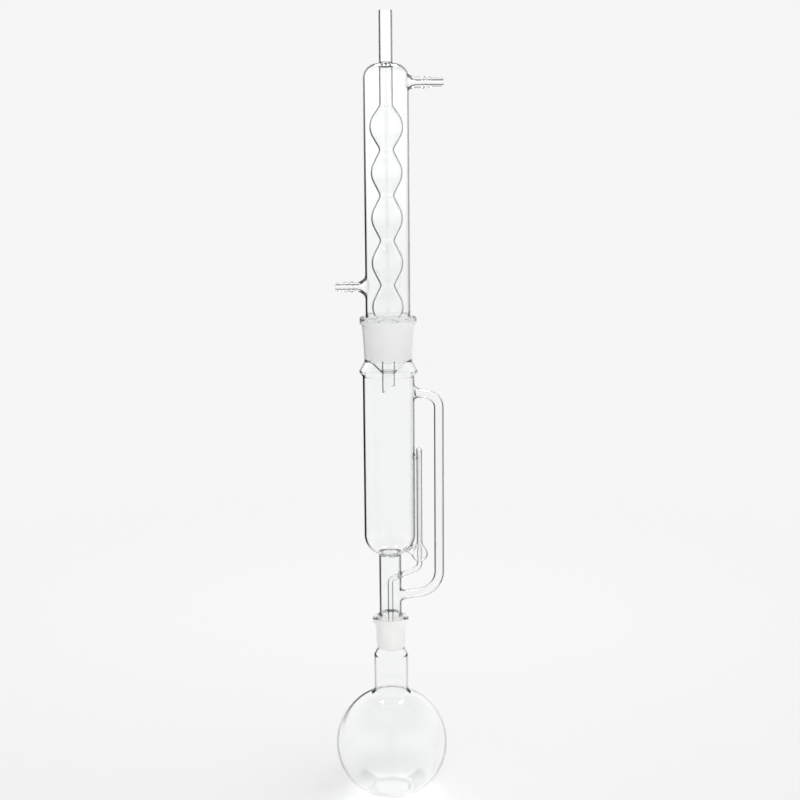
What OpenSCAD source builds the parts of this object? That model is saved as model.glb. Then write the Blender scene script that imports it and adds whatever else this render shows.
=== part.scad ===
// Soxhlet extractor, 500 ml: a flat-bottomed flask, an extractor with its vapour tube
// and siphon, and a bulb condenser, each blown and fused from tube as one piece of glass.
// The three stand in each other at two ground cone joints, on one upright axis.
// Millimetres, +Z up. The origin is the centre of the flask's foot, on the bench.

/* [Flask] */
// Outside diameter of the flask's globe
flask_d = 102.5; // [90:0.5:130]
// Height of the flask's rim above the bench
flask_h = 168; // [160:1:200]
// Glass thickness of the globe and neck
flask_wall = 1.6; // [1:0.1:2.5]
// Diameter of the flat foot
foot_d = 38; // [30:1:44]
// Radius where the foot turns up into the globe
foot_round = 8; // [4:0.5:10]
// Glass thickness over the foot
foot_wall = 3.4; // [2.5:0.1:5]
// Rise of the hollow under the foot
foot_hollow = 0.8; // [0.3:0.1:1.5]
// Width of the ring that the flask stands on
foot_ring_w = 4; // [3:0.5:6]
// Outside diameter of the neck
neck_d = 31; // [28:0.5:33]
// Radius of the fillet between neck and globe
neck_fillet = 7; // [2:0.5:8]

/* [Ground joints] */
// Wide diameter of the lower cone joint
low_joint_d = 24; // [23:0.5:25]
// Ground length of the lower cone joint
low_joint_len = 29; // [26:1:31]
// Wide diameter of the upper cone joint
top_joint_d = 40; // [39:0.5:41]
// Ground length of the upper cone joint
top_joint_len = 38; // [34:1:41]
// Narrowing of each joint, in diameter for each unit of length
joint_taper = 0.1; // [0.08:0.005:0.12]
// Clearance between a ground cone and its socket, on the radius
joint_gap = 0.04; // [0.02:0.01:0.1]
// Glass thickness of the lower socket
low_socket_wall = 2.1; // [1.6:0.1:2.6]
// Glass thickness of the upper socket
top_socket_wall = 3; // [2.2:0.1:3.6]
// Height of the bead round the flask's rim
low_bead_h = 4.2; // [3:0.2:6]
// Diameter of the bead round the flask's rim
low_bead_d = 33; // [31:0.5:35]
// Height of the bead round the extractor's rim
top_bead_h = 6; // [4:0.2:8]
// Diameter of the bead round the extractor's rim
top_bead_d = 50.2; // [48:0.2:53]

/* [Extractor body] */
// Height of the extractor's rim above the flask's rim
extractor_rise = 276.3; // [260:1:320]
// Outside diameter of the chamber
chamber_d = 46; // [44:0.5:50]
// Glass thickness of the chamber
chamber_wall = 1.6; // [1.2:0.1:2.2]
// Height of the chamber's floor above the flask's rim
chamber_floor = 60; // [56:1:66]
// Radius where the chamber's wall turns into its floor
chamber_round = 18; // [14:0.5:19]
// Diameter of the bulge under the upper socket
bulge_d = 52.2; // [50:0.2:55]
// Depth of the bulge's widest ring below the upper ground joint
bulge_drop = 10.6; // [9:0.2:13]
// Outside diameter of the lower tube
low_tube_d = 20; // [18.5:0.5:21]
// Glass thickness of the lower tube
low_tube_wall = 1.6; // [1.2:0.1:2]

/* [Vapour tube] */
// Outside diameter of the vapour tube
vapour_d = 8.6; // [8:0.2:10]
// Glass thickness of the vapour tube
vapour_wall = 1.1; // [0.8:0.1:1.4]
// Distance of its upright length from the axis
vapour_reach = 44.6; // [41:0.5:54]
// Depth below the extractor's rim where its upper arm would meet the axis
vapour_top_drop = 62.6; // [60:0.5:70]
// Height above the flask's rim where its lower arm would meet the axis
vapour_low_rise = 18.9; // [16:0.5:20]
// Slope of its upper arm, in degrees below level
vapour_top_slope = 12; // [5:1:15]
// Slope of its lower arm, in degrees below level
vapour_low_slope = 9; // [5:1:15]
// Bend radius at its top
vapour_top_bend = 12; // [10:0.5:14]
// Bend radius at its foot
vapour_low_bend = 20; // [14:0.5:20]
// Diameter that its upper weld flares to, at the chamber's wall
vapour_top_weld_d = 17; // [12:0.2:18]
// Diameter that its lower weld flares to, at the lower tube's wall
vapour_low_weld_d = 15; // [11:0.2:16]

/* [Siphon] */
// Outside diameter of the siphon tube
siphon_d = 5.2; // [4.6:0.1:5.6]
// Glass thickness of the siphon tube
siphon_wall = 1; // [0.7:0.1:1.2]
// Distance from the axis to the plane of the siphon's two legs
siphon_reach = 26.8; // [26.6:0.2:30]
// Distance between the siphon's two legs
siphon_span = 11.4; // [10.8:0.2:14]
// Height of the siphon's top above the chamber's floor
siphon_h = 95.8; // [60:1:120]
// Depth below the chamber's floor where the downcomer would meet the axis
siphon_drop = 24.2; // [23:0.2:26]
// Slope of the siphon's lower arm, in degrees below level
siphon_slope = 18; // [12:1:22]
// Bend radius of the downcomer's foot
siphon_bend = 6; // [4.5:0.5:8]
// Diameter that its weld flares to, at the lower tube's wall
siphon_weld_d = 8.6; // [7:0.2:10]
// Bend radius inside the lower tube
drip_bend = 5; // [4:0.5:5.5]
// Outside diameter of the bulb at the riser's foot
riser_bulb_d = 14.6; // [12:0.2:15]
// Height of the bulb's centre above the chamber's floor
riser_bulb_rise = 1.2; // [0:0.2:3]
// Length of the bulb's taper into the riser
riser_bulb_taper = 9.5; // [8:0.5:14]
// Width of the neck between the chamber and the bulb
riser_neck_d = 9.6; // [8:0.2:11]
// Thickness of the small bridge that stays the riser to the chamber
bridge_d = 2.6; // [1.6:0.2:3.4]

/* [Condenser] */
// Outside diameter of the jacket
jacket_d = 39.4; // [38.4:0.2:40]
// Glass thickness of the jacket
jacket_wall = 1.5; // [1.2:0.1:2]
// Height of the jacket's top above the extractor's rim
jacket_h = 217.2; // [216:1:240]
// Radius of the jacket's shoulder
jacket_round = 12; // [8:0.5:12.5]
// Outside diameter of the inner tube
inner_d = 11.8; // [10:0.2:12]
// Glass thickness of the inner tube
inner_wall = 1.2; // [0.8:0.1:1.5]
// Height of the inner tube above the jacket
top_tube_h = 44; // [30:1:60]
// Number of bulbs
bulb_count = 5; // [4:1:5]
// Outside diameter of the first bulb, which is blown wider
first_bulb_d = 29.4; // [26:0.2:30]
// Outside diameter of each further bulb
bulb_d = 27.8; // [24:0.2:29]
// Outside diameter at the waist between two bulbs
waist_d = 13.3; // [11.4:0.1:14]
// Distance from one bulb to the next
bulb_pitch = 39; // [36:0.5:39]
// Radius of the arc round a bulb's belly
bulb_round = 18; // [15:0.5:19]
// Radius of the arc at the waist between bulbs
waist_round = 4; // [3:0.5:5]
// Depth of the first bulb's centre below the jacket's top
bulb_drop = 53.1; // [50:0.5:56]
// Glass thickness of the cone under the jacket
cone_wall = 2; // [1.5:0.1:2.5]
// Height of the cone's rounded end
cone_end_h = 10.6; // [9:0.2:14]
// Outside diameter of the drip tube
drip_d = 11.2; // [10:0.2:12]
// Length of the drip tube on its long side, below the cone's ground length
drip_len = 30; // [24:0.5:36]
// Difference in length between the two sides of the drip tube's slanting tip
drip_slant = 6.5; // [3:0.5:10]

/* [Hose nozzles] */
// Distance of the upper nozzle's tip from the axis
high_nozzle_reach = 49.4; // [47:0.5:60]
// Depth of the upper nozzle below the jacket's top
high_nozzle_drop = 15.9; // [15.5:0.1:18]
// Ridges round the upper nozzle
high_nozzle_ridges = 2; // [1:1:3]
// Diameter that the upper nozzle's root flares to
high_nozzle_root_d = 16; // [12:0.5:18]
// Outside diameter of the upper nozzle between its root and its first ridge
high_nozzle_neck_d = 9.6; // [8.4:0.1:10.2]
// Distance of the lower nozzle's tip from the axis
low_nozzle_reach = 45.9; // [45:0.5:60]
// Height of the lower nozzle above the extractor's rim
low_nozzle_rise = 26.4; // [22:0.5:40]
// Ridges round the lower nozzle
low_nozzle_ridges = 3; // [1:1:3]
// Diameter that the lower nozzle's root flares to
low_nozzle_root_d = 21; // [14:0.5:22]
// Outside diameter of a nozzle elsewhere, between and beyond its ridges
nozzle_d = 7.6; // [7:0.1:8.4]
// Glass thickness of a nozzle
nozzle_wall = 2.2; // [1.4:0.1:2.6]
// Height of the first ridge above the tube
ridge_h = 1.4; // [0.6:0.1:2]
// Height that each further ridge loses
ridge_step = 0.5; // [0:0.05:0.5]
// Distance from one ridge to the next
ridge_pitch = 4.6; // [4.4:0.1:5.2]
// Distance from the jacket to the first ridge
ridge_start = 12.8; // [11:0.2:14]

/* [Hidden] */
glass = [0.86, 0.92, 0.92, 0.45];
// Smoothness: facets round a lathe form, round a tube and in each drawn arc
$fn = 96;
tube_fn = 48;
arc_steps = 8;
// Length by which one solid of a cut or weld runs past the surface that it meets
past = 0.5;
// Radius that softens the melted edges of rims and tube ends
melt = 0.5;
// Radii that the glass takes where it changes its diameter: gently, or in a short step
soft = 2.5;
tight = 1.2;
// Straight length that an outline keeps beside a rounded corner
straight = 5;
// Radius round a rim's bead, and height over which a socket widens into it
bead_round = 1.6;
bead_rise = 1.5;
// Depth of a socket's outer turn below the end of its ground bore
socket_drop = 1;
// A bent length is this much thinner on the radius than a straight one, which laps over its end
bend_thin = 0.03;
bend_lap = 0.3;
// Step on the radius where a weld's narrow end meets its tube, and how deep its root goes
weld_step = 0.15;
weld_sink = 2;
// Flask, with the height over which its neck narrows into the socket
neck_taper = 6;
globe_r = flask_d / 2;
foot_r = foot_d / 2;
globe_z = foot_round + sqrt(pow(globe_r - foot_round, 2) - pow(foot_r, 2));
neck_r = neck_d / 2;
low_rim_z = flask_h;
low_end_z = low_rim_z - low_joint_len;
// Collar above the lower ground cone: width past the cone, height, and height of its taper
collar_w = 0.3;
collar_h = 1.2;
collar_taper = 3.3;
// Extractor
top_rim_z = low_rim_z + extractor_rise;
top_end_z = top_rim_z - top_joint_len;
chamber_r = chamber_d / 2;
floor_z = low_rim_z + chamber_floor;
low_tube_r = low_tube_d / 2;
low_bore_r = low_tube_r - low_tube_wall;
bulge_z = top_end_z - bulge_drop;
// Height over which the chamber widens to the bulge
bulge_rise = 4.4;
// Radius of the seal between the lower tube and the chamber, and rise of the floor's middle
seal_round = 2.5;
floor_rise = 0.4;
// Widening of the bore inside the lower ground cone
cone_bore_w = 0.4;
// Length of each weld along its arm
vapour_top_weld_len = 7;
vapour_low_weld_len = 5;
siphon_weld_len = 3;
// Height of the drip end inside the lower ground cone
drip_up = 3;
// Latitude on the riser's bulb where its taper leaves it
taper_from = 33;
// Place of the chamber's mouth into the bulb: distance from the axis, height above the floor
mouth_r = 14;
mouth_h = 6.2;
// Fall of the bridge from the chamber to the riser
bridge_fall = 4;
// Condenser, with the weld between cone and drip tube and the radius at the cone's end
drip_weld = 1.6;
cone_round = 4;
// Height over which the jacket narrows above its ground cone
jacket_step = 2.4;
// Half the width of a nozzle's ridge, at its foot and at its crest
ridge_foot = 2;
ridge_crest = 0.4;
nozzle_bore_r = nozzle_d / 2 - nozzle_wall;
jacket_r = jacket_d / 2;
jacket_z = top_rim_z + jacket_h;
inner_r = inner_d / 2;
vent_z = jacket_z + top_tube_h;
first_bulb_z = jacket_z - bulb_drop;
tip_z = top_end_z - drip_len;

// Radii of the two joints' surfaces at a height
function low_joint_r(z) = (low_joint_d - joint_taper * (low_rim_z - z)) / 2;
function top_joint_r(z) = (top_joint_d - joint_taper * (top_rim_z - z)) / 2;

// Points along an arc about a centre, from one angle to another
function arc(centre, r, from, to) =
    [for (i = [0:arc_steps]) let (a = from + (to - from) * i / arc_steps) centre + r * [cos(a), sin(a)]];

// An outline with its corners rounded: each point is [radius, height, corner radius]
function flat(p) = [p[0], p[1]];
function corner(before, here, after) =
    let (u = (flat(before) - flat(here)) / norm(flat(before) - flat(here)),
         v = (flat(after) - flat(here)) / norm(flat(after) - flat(here)),
         half = acos(u * v) / 2,
         r = here[2],
         centre = flat(here) + (u + v) / norm(u + v) * r / sin(half),
         start = flat(here) + u * r / tan(half) - centre,
         end = flat(here) + v * r / tan(half) - centre,
         a = atan2(start[1], start[0]),
         turn = atan2(end[1], end[0]) - a)
    arc(centre, r, a, a + (turn > 180 ? turn - 360 : turn < -180 ? turn + 360 : turn));
function rounded(p) =
    [for (i = [0:len(p) - 1])
        each p[i][2] == undef ? [flat(p[i])] : corner(p[i - 1], p[i], p[i + 1])];

// Outline of a socket, up its outside and down its ground bore
function socket(rim_z, end_z, rim_r, end_r, wall, bead_r, bead_h) = [
    [end_r + wall, end_z - socket_drop, soft],
    [rim_r + wall, rim_z - bead_h - bead_rise, tight],
    [bead_r, rim_z - bead_h, tight],
    [bead_r, rim_z, bead_round],
    [rim_r + melt, rim_z, melt / 2],
    [rim_r, rim_z - melt * 2],
    [end_r, end_z]];

// Turns one tube from upright into an arm that slopes towards the axis
function arm_turn(slope) = 90 - slope;

// Globe and neck at a depth below the outer surface, from the foot up to the neck
function globe_outline(depth, floor_h, round_r) =
    let (r = globe_r - depth,
         foot_x = sqrt(pow(r - round_r, 2) - pow(globe_z - floor_h - round_r, 2)),
         foot_a = atan2(floor_h + round_r - globe_z, foot_x),
         fillet = [neck_r + neck_fillet,
                   globe_z + sqrt(pow(globe_r + neck_fillet, 2) - pow(neck_r + neck_fillet, 2))],
         fillet_a = atan2(fillet[1] - globe_z, fillet[0]))
    concat(arc([foot_x, floor_h + round_r], round_r, -90, foot_a),
           [for (i = [1:3 * arc_steps])
               let (a = foot_a + (fillet_a - foot_a) * i / (3 * arc_steps)) [0, globe_z] + r * [cos(a), sin(a)]],
           arc(fillet, neck_fillet + depth, fillet_a + 180, 180));

module flask_outside() {
    ring_r = foot_r - foot_ring_w;
    hollow_r = (pow(ring_r, 2) + pow(foot_hollow, 2)) / (2 * foot_hollow);
    hollow_a = asin(ring_r / hollow_r);
    polygon(concat(
        arc([0, foot_hollow - hollow_r], hollow_r, 90, 90 - hollow_a),
        globe_outline(0, 0, foot_round),
        rounded(concat(
            [[neck_r, low_end_z - socket_drop - neck_taper - straight],
             [neck_r, low_end_z - socket_drop - neck_taper, soft]],
            socket(low_rim_z, low_end_z, low_joint_d / 2, low_joint_r(low_end_z),
                low_socket_wall, low_bead_d / 2, low_bead_h))),
        [[0, low_end_z]]));
}

module flask_inside() {
    polygon(concat(
        [[0, foot_wall]],
        globe_outline(flask_wall, foot_wall, foot_round / 2),
        rounded([
            [neck_r - flask_wall, low_end_z - neck_taper - straight],
            [neck_r - flask_wall, low_end_z - neck_taper, soft],
            [low_joint_r(low_end_z), low_end_z, tight],
            [low_joint_d / 2, low_rim_z],
            [low_joint_d / 2, low_rim_z + past]]),
        [[0, low_rim_z + past]]));
}

module flask() {
    color(glass) rotate_extrude() difference() {
        flask_outside();
        flask_inside();
    }
}

// Outside of the body: ground cone, lower tube, chamber, bulge and socket
module body_outside() {
    turn = [chamber_r - chamber_round, floor_z + chamber_round];
    drop = sqrt(pow(chamber_round + seal_round, 2) - pow(low_tube_r + seal_round - turn[0], 2));
    seal = [low_tube_r + seal_round, turn[1] - drop];
    seal_a = atan2(-drop, seal[0] - turn[0]);
    polygon(concat(
        rounded([
            [0, low_end_z],
            [low_joint_r(low_end_z) - joint_gap, low_end_z, melt],
            [low_joint_d / 2 - joint_gap, low_rim_z],
            [low_joint_d / 2 + collar_w, low_rim_z + collar_h, tight],
            [low_tube_r, low_rim_z + collar_h + collar_taper, tight],
            [low_tube_r, low_rim_z + collar_h + collar_taper + straight]]),
        arc(seal, seal_round, 180, 180 + seal_a),
        arc(turn, chamber_round, seal_a, 0),
        rounded(concat(
            [[chamber_r, bulge_z - bulge_rise - straight],
             [chamber_r, bulge_z - bulge_rise, tight],
             [bulge_d / 2, bulge_z, tight]],
            socket(top_rim_z, top_end_z, top_joint_d / 2, top_joint_r(top_end_z),
                top_socket_wall, top_bead_d / 2, top_bead_h),
            [[0, top_end_z]]))));
}

// Inside of the chamber, with the bore of its socket
module chamber_inside() {
    r = chamber_r - chamber_wall;
    polygon(rounded([
        [0, floor_z + chamber_wall],
        [r, floor_z + chamber_wall, chamber_round - chamber_wall],
        [r, bulge_z - bulge_rise, tight],
        [bulge_d / 2 - chamber_wall, bulge_z, tight],
        [top_joint_r(top_end_z), top_end_z, soft],
        [top_joint_d / 2, top_rim_z],
        [top_joint_d / 2, top_rim_z + past],
        [0, top_rim_z + past]]));
}

// Inside of the lower tube, up to the chamber's floor
module low_tube_inside() {
    polygon(rounded([
        [0, low_end_z - past],
        [low_bore_r + cone_bore_w, low_end_z - past],
        [low_bore_r + cone_bore_w, low_rim_z, soft],
        [low_bore_r, low_rim_z + collar_h + collar_taper, soft],
        [low_bore_r, floor_z - floor_rise, soft],
        [0, floor_z]]));
}

// A bent rod of a radius, turning from the X axis towards the Y axis
module bend_piece(r, bend, turn) {
    rotate_extrude(angle = turn, $fn = 2 * tube_fn) translate([bend, 0]) circle(r - bend_thin, $fn = tube_fn);
}

// A tube that comes down from upright, turns by a bend and slopes on in a straight arm
module arm_down(r, bend, turn, arm) {
    translate([bend, 0, 0]) rotate([-90, 0, 180]) bend_piece(r, bend, turn);
    translate([bend * (1 - cos(turn)), 0, -bend * sin(turn)]) rotate([0, 180 - turn, 0])
        translate([0, 0, -bend_lap]) cylinder(h = arm + bend_lap, r = r, $fn = tube_fn);
}

// Length of the straight arm between a bend and a distance from the axis
function arm_len(reach, bend, turn) = (reach - bend * (1 - cos(turn))) / sin(turn);

// Height at which a tube leaves upright, so that its arm would meet the axis at a height
function bend_z(axis_z, reach, bend, turn) =
    axis_z + bend * sin(turn) + arm_len(reach, bend, turn) * cos(turn);

// The whole vapour tube, as a rod of a radius
module vapour_run(r, low_end, top_end) {
    low_turn = arm_turn(vapour_low_slope);
    top_turn = arm_turn(vapour_top_slope);
    low_z = bend_z(low_rim_z + vapour_low_rise, vapour_reach, vapour_low_bend, low_turn);
    top_arm = arm_len(vapour_reach, vapour_top_bend, top_turn);
    top_z = top_rim_z - vapour_top_drop - vapour_top_bend * sin(top_turn) - top_arm * cos(top_turn);
    translate([vapour_reach, 0, 0]) {
        translate([0, 0, low_z - bend_lap])
            cylinder(h = top_z - low_z + 2 * bend_lap, r = r, $fn = tube_fn);
        translate([0, 0, low_z]) rotate([0, 0, 180])
            arm_down(r, vapour_low_bend, low_turn,
                arm_len(vapour_reach - low_end, vapour_low_bend, low_turn));
        translate([0, 0, top_z]) rotate([180, 0, 180])
            arm_down(r, vapour_top_bend, top_turn,
                arm_len(vapour_reach - top_end, vapour_top_bend, top_turn));
    }
}

// A weld that flares out of a wall of a radius to a narrow end, for an arm that leaves along +Z.
// Its flare begins half as deep as the wall curves away beside it.
module weld(wall_r, root_r, end_r, len) {
    depth = wall_r - sqrt(pow(wall_r, 2) - pow(root_r, 2));
    translate([0, 0, -depth / 2]) rotate_extrude($fn = tube_fn) polygon(concat(
        [[0, -depth / 2 - weld_sink], [root_r, -depth / 2 - weld_sink]],
        [for (a = [0:90 / arc_steps:90])
            [root_r - (root_r - end_r) * sin(a), (depth / 2 + len) * (1 - cos(a))]],
        [[0, depth / 2 + len]]));
}

// The vapour tube's welds, which lean with its arms
module vapour_welds(grow) {
    tube_r = vapour_d / 2 - grow + weld_step;
    translate([chamber_r, 0, top_rim_z - vapour_top_drop - chamber_r * tan(vapour_top_slope)])
        rotate([0, 90 + vapour_top_slope, 0])
            weld(chamber_r, vapour_top_weld_d / 2 - grow, tube_r, vapour_top_weld_len);
    translate([low_tube_r, 0, low_rim_z + vapour_low_rise + low_tube_r * tan(vapour_low_slope)])
        rotate([0, 90 - vapour_low_slope, 0])
            weld(low_tube_r, vapour_low_weld_d / 2 - grow, tube_r, vapour_low_weld_len);
}

// The weld where the siphon's arm goes into the lower tube
module siphon_weld() {
    rotate([0, 0, atan2(siphon_span / 2, siphon_reach)])
        translate([low_tube_r, 0, floor_z - siphon_drop + low_tube_r * tan(siphon_slope)])
            rotate([0, 90 - siphon_slope, 0])
                weld(low_tube_r, siphon_weld_d / 2, siphon_d / 2 + weld_step, siphon_weld_len);
}

// The siphon: riser, U at its top, downcomer, arm to the lower tube and drip tube on the axis
module siphon_run(r, drip_end_z) {
    side = siphon_span / 2;
    reach = norm([siphon_reach, side]);
    turn = arm_turn(siphon_slope);
    axis_z = floor_z - siphon_drop;
    arm = (reach - (siphon_bend + drip_bend) * (1 - cos(turn))) / sin(turn);
    drip_z = axis_z - drip_bend * tan(turn / 2);
    foot_z = drip_z + (siphon_bend + drip_bend) * sin(turn) + arm * cos(turn);
    top_z = floor_z + siphon_h - side;
    translate([siphon_reach, 0, top_z]) rotate([90, 0, 90]) bend_piece(r, side, 180);
    translate([siphon_reach, -side, floor_z + riser_bulb_rise])
        cylinder(h = top_z + bend_lap - floor_z - riser_bulb_rise, r = r, $fn = tube_fn);
    translate([siphon_reach, side, foot_z]) {
        translate([0, 0, -bend_lap]) cylinder(h = top_z - foot_z + 2 * bend_lap, r = r, $fn = tube_fn);
        rotate([0, 0, 180 + atan2(side, siphon_reach)]) arm_down(r, siphon_bend, turn, arm + bend_lap);
    }
    translate([0, 0, drip_z]) rotate([0, 0, atan2(side, siphon_reach)])
        translate([drip_bend, 0, 0]) rotate([90, 0, 180]) bend_piece(r, drip_bend, turn);
    translate([0, 0, drip_end_z]) cylinder(h = drip_z + bend_lap - drip_end_z, r = r, $fn = tube_fn);
}

// The bulb at the riser's foot, its taper into the riser and its neck from the chamber
module riser_bulb(grow) {
    bulb_z = floor_z + riser_bulb_rise;
    bulb_r = riser_bulb_d / 2 - grow;
    side = siphon_span / 2;
    toward = [siphon_reach, -side] / norm([siphon_reach, side]);
    span = [mouth_r * toward[0], mouth_r * toward[1], floor_z + mouth_h] - [siphon_reach, -side, bulb_z];
    taper_z = bulb_r * sin(taper_from);
    translate([siphon_reach, -side, bulb_z]) {
        sphere(bulb_r, $fn = tube_fn);
        translate([0, 0, taper_z])
            cylinder(h = riser_bulb_taper - taper_z, r1 = bulb_r * cos(taper_from) - bend_thin,
                r2 = siphon_d / 2 - grow + weld_step, $fn = tube_fn);
        rotate([0, acos(span[2] / norm(span)), atan2(span[1], span[0])])
            cylinder(h = norm(span), r = riser_neck_d / 2 - grow, $fn = tube_fn);
    }
}

// The glass bridge between the chamber's wall and the riser
module bridge() {
    side = siphon_span / 2;
    start_r = chamber_r - chamber_wall / 2;
    level = norm([siphon_reach, side]) - start_r;
    rotate([0, 0, -atan2(side, siphon_reach)])
        translate([start_r, 0, floor_z + siphon_h - side + bridge_fall / 2])
            rotate([0, 90 + atan2(bridge_fall, level), 0])
                cylinder(h = norm([level, bridge_fall]), r = bridge_d / 2, $fn = tube_fn);
}

module extractor() {
    siphon_r = siphon_d / 2;
    drip_end_z = low_end_z + drip_up;
    color(glass) difference() {
        union() {
            difference() {
                union() {
                    rotate_extrude() body_outside();
                    vapour_run(vapour_d / 2, low_tube_r - low_tube_wall / 2, chamber_r - chamber_wall / 2);
                    vapour_welds(0);
                    siphon_weld();
                    riser_bulb(0);
                    bridge();
                }
                rotate_extrude() chamber_inside();
                rotate_extrude() low_tube_inside();
            }
            siphon_run(siphon_r, drip_end_z);
        }
        vapour_run(vapour_d / 2 - vapour_wall, low_bore_r - past, chamber_r - chamber_wall - past);
        vapour_welds(vapour_wall);
        siphon_run(siphon_r - siphon_wall, drip_end_z - past);
        riser_bulb(siphon_wall);
    }
}

// Half a bulb's outline from its belly to a waist, as [radius, distance along the tube]: an arc
// about each of the two and a straight flank between, at a depth in the glass
function half_bulb(belly_r, waist_r, depth) =
    let (belly = [belly_r - bulb_round, 0],
         waist = [waist_r + waist_round, bulb_pitch / 2],
         gap = waist - belly,
         flank = atan2(gap[1], gap[0]) - acos((bulb_round + waist_round) / norm(gap)))
    concat([for (a = [0:flank / arc_steps:flank + 0.001])
               belly + (bulb_round - depth) * [cos(a), sin(a)]],
           [for (a = [flank:-flank / arc_steps:-0.001])
               waist - (waist_round + depth) * [cos(a), sin(a)]]);

// A bulb's outline from the waist above it down to the waist below. The row's two ends have no
// waist of their own: there the bulb runs into the plain tube.
function bulb_outline(i, depth) =
    let (z = first_bulb_z - i * bulb_pitch,
         belly_r = (i == 0 ? first_bulb_d : bulb_d) / 2,
         up = half_bulb(belly_r, i == 0 ? inner_r : waist_d / 2, depth),
         down = half_bulb(belly_r, i == bulb_count - 1 ? inner_r : waist_d / 2, depth))
    concat([for (k = [len(up) - 1:-1:1]) [up[k][0], z + up[k][1]]],
           [for (p = down) [p[0], z - p[1]]]);

// The inner tube's outline, from the vent at the top down to the drip tube
function inner_outline(depth, top, bottom) = concat(
    [[inner_r - depth, top]],
    [for (i = [0:bulb_count - 1]) each bulb_outline(i, depth)],
    [[inner_r - depth, bottom]]);

// Solid outline of the jacket, the cone and the tubes at both ends
module condenser_outside() {
    polygon(rounded([
        [0, tip_z],
        [drip_d / 2, tip_z],
        [drip_d / 2, top_end_z - cone_end_h - drip_weld, tight],
        [drip_d / 2 + drip_weld, top_end_z - cone_end_h, tight],
        [top_joint_r(top_end_z) - joint_gap, top_end_z, cone_round],
        [top_joint_d / 2 - joint_gap, top_rim_z, melt],
        [jacket_r, top_rim_z + jacket_step, tight],
        [jacket_r, jacket_z, jacket_round],
        [inner_r, jacket_z, tight],
        [inner_r, vent_z, melt],
        [0, vent_z]]));
}

// The space for the cooling water, between the jacket and the inner tube
module water_space() {
    seal_z = top_end_z - cone_end_h + cone_wall;
    difference() {
        polygon(rounded([
            [0, seal_z],
            [drip_d / 2 + drip_weld, seal_z, tight],
            [top_joint_r(top_end_z) - cone_wall, top_end_z + cone_wall / 2, soft],
            [jacket_r - cone_wall, top_rim_z - jacket_step, soft],
            [jacket_r - jacket_wall, top_rim_z + 2 * jacket_step, soft],
            [jacket_r - jacket_wall, jacket_z - jacket_wall, jacket_round - jacket_wall],
            [0, jacket_z - jacket_wall]]));
        polygon(concat([[0, vent_z]], inner_outline(0, vent_z, tip_z), [[0, tip_z]]));
    }
}

// A hose nozzle that leaves the axis along +X, with its root welded over the jacket's wall
module nozzle(reach, root_d, neck_d, ridges) {
    r = nozzle_d / 2;
    first = jacket_r + ridge_start;
    rotate([0, 90, 0]) {
        translate([0, 0, jacket_r])
            weld(jacket_r, root_d / 2, neck_d / 2 + weld_step, ridge_start - ridge_foot - weld_sink);
        rotate_extrude($fn = tube_fn) polygon(rounded([
            [0, jacket_r - jacket_wall],
            [neck_d / 2, jacket_r - jacket_wall],
            for (i = [0:ridges - 1])
                let (top_r = r + ridge_h - i * ridge_step, z = first + i * ridge_pitch)
                each [[i == 0 ? neck_d / 2 : r, z - ridge_foot, melt], [top_r, z - ridge_crest, melt],
                      [top_r, z + ridge_crest, melt], [r, z + ridge_foot, melt]],
            [r, reach, melt],
            [0, reach]]));
    }
}

// Its bore, which flares with the weld
module nozzle_bore(reach, root_d) {
    rotate([0, 90, 0]) {
        translate([0, 0, jacket_r]) weld(jacket_r, root_d / 2 - jacket_wall, nozzle_bore_r + weld_step,
            ridge_start - ridge_foot - weld_sink);
        translate([0, 0, jacket_r - jacket_wall - past])
            cylinder(h = reach - jacket_r + jacket_wall + 2 * past, r = nozzle_bore_r, $fn = tube_fn);
    }
}

module condenser() {
    high_z = jacket_z - high_nozzle_drop;
    low_z = top_rim_z + low_nozzle_rise;
    slant = atan2(drip_slant, drip_d);
    color(glass) difference() {
        union() {
            rotate_extrude() condenser_outside();
            translate([0, 0, high_z])
                nozzle(high_nozzle_reach, high_nozzle_root_d, high_nozzle_neck_d, high_nozzle_ridges);
            translate([0, 0, low_z]) mirror([1, 0, 0])
                nozzle(low_nozzle_reach, low_nozzle_root_d, nozzle_d, low_nozzle_ridges);
        }
        rotate_extrude() water_space();
        rotate_extrude() polygon(concat(
            [[0, vent_z + past]], inner_outline(inner_wall, vent_z + past, tip_z - past), [[0, tip_z - past]]));
        translate([0, 0, high_z]) nozzle_bore(high_nozzle_reach, high_nozzle_root_d);
        translate([0, 0, low_z]) mirror([1, 0, 0]) nozzle_bore(low_nozzle_reach, low_nozzle_root_d);
        translate([-drip_d / 2, 0, tip_z]) rotate([0, -slant, 0])
            translate([-drip_d, -drip_d, -2 * drip_d]) cube([4 * drip_d, 2 * drip_d, 2 * drip_d]);
    }
}

flask();
extractor();
condenser();
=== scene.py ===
"""A soxhlet extractor in three pieces of blown glass, each one closed surface: the flask, the
extractor with its vapour tube and siphon, and the condenser with its hose nozzles.

Sizes are in millimetres up to the mesh, +Z up, from the centre of the flask's foot. Where a size
has two values, the first is for the outer skin and the second for the inner."""
import math

import bmesh
import bpy
import numpy as np
from mathutils import Matrix


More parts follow.
